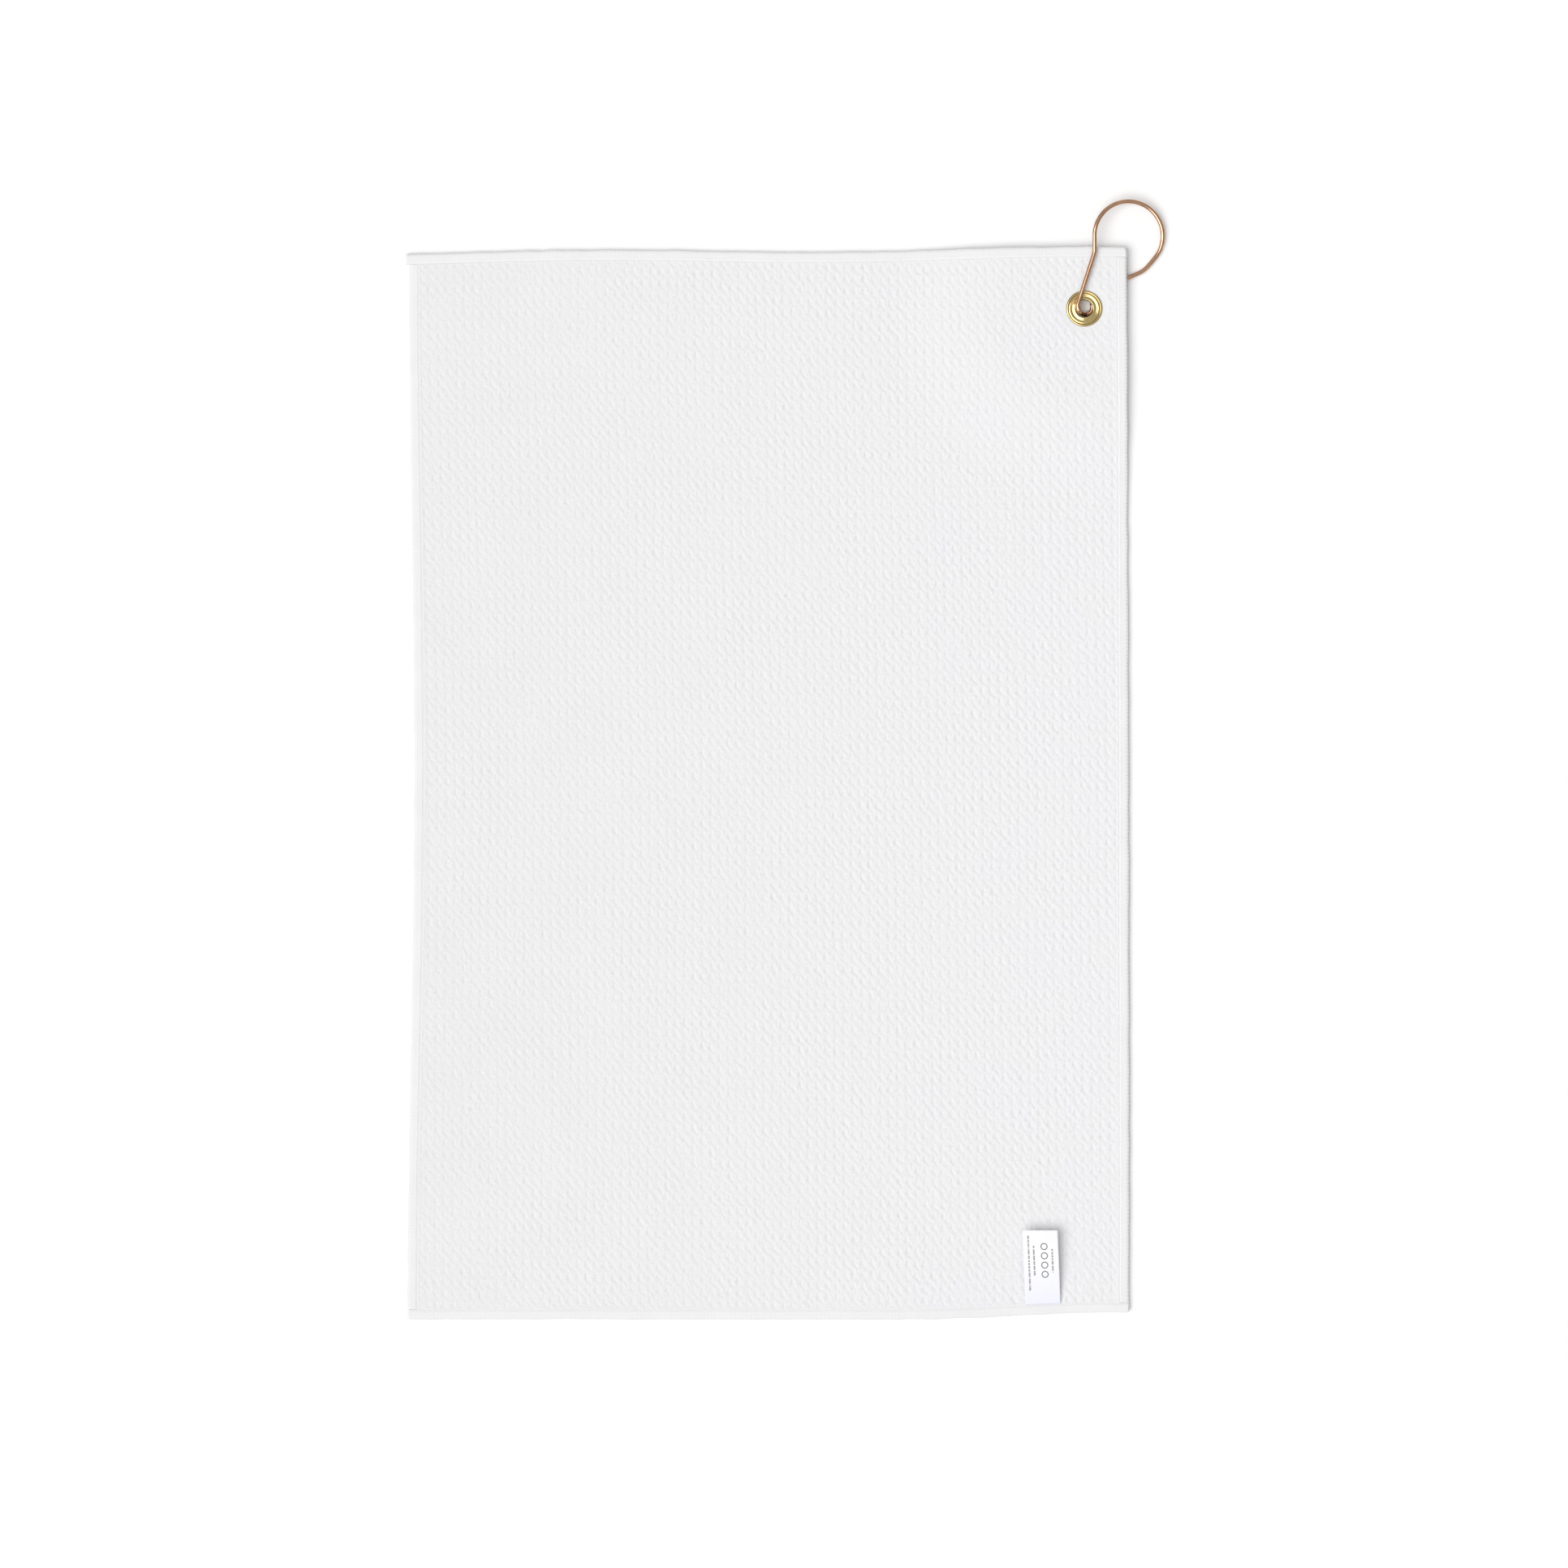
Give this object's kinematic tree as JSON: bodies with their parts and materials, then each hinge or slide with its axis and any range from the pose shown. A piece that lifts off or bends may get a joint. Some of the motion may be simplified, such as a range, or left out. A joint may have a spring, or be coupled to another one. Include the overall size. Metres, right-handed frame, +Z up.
{
  "type": "golf towel",
  "caption": "Rectangular waffle-weave golf towel laid flat, with overlocked edges, a corner grommet, a sprung wire hook and a sewn-in care label.",
  "frame": {"origin": "centre of the towel's underside, where it rests", "axes": "+X across the towel towards the grommet's side, +Y along it towards the grommet's end, +Z up out of the face that shows"},
  "size_m": [0.4299, 0.6339, 0.0098],
  "materials": {
    "waffle_cloth": "matte white waffle-weave microfibre",
    "overlock_thread": "slightly glossy white polyester thread",
    "needle_thread": "white polyester thread",
    "grommet_brass": "polished pale brass",
    "hook_wire": "polished copper-coloured plating",
    "label_ribbon": "satin white ribbon"
  },
  "bodies": {
    "towel": {"towel_panel": "waffle_cloth", "edge_overlock_left": "overlock_thread", "edge_overlock_right": "overlock_thread", "edge_overlock_top": "overlock_thread", "edge_overlock_bottom": "overlock_thread", "needle_thread_left": "needle_thread", "needle_thread_right": "needle_thread", "needle_thread_top": "needle_thread", "needle_thread_bottom": "needle_thread", "grommet_eyelet": "grommet_brass", "grommet_washer": "grommet_brass"},
    "hook": {"hook_shank": "hook_wire"},
    "hook_arm": {"hook_spring_arm": "hook_wire"},
    "label": {"care_label": "label_ribbon"}
  },
  "joints": [
    {"name": "hook_swivel", "type": "hinge", "parent": "towel", "child": "hook", "pos_m": [0.1781, 0.2694, 0.00815], "axis": [0, 0, 1], "range_deg": [-75, 45]},
    {"name": "hook_gate", "type": "hinge", "parent": "hook", "child": "hook_arm", "pos_m": [0.21704, 0.32434, 0.00384], "axis": [0, 0, 1], "range_deg": [0, 25], "stiffness_Nm_per_rad": 0.15},
    {"name": "label_flip", "type": "hinge", "parent": "towel", "child": "label", "pos_m": [0.15493, -0.29382, 0.00355], "axis": [0.999, 0.0452, 0], "range_deg": [0, 140]}
  ]
}
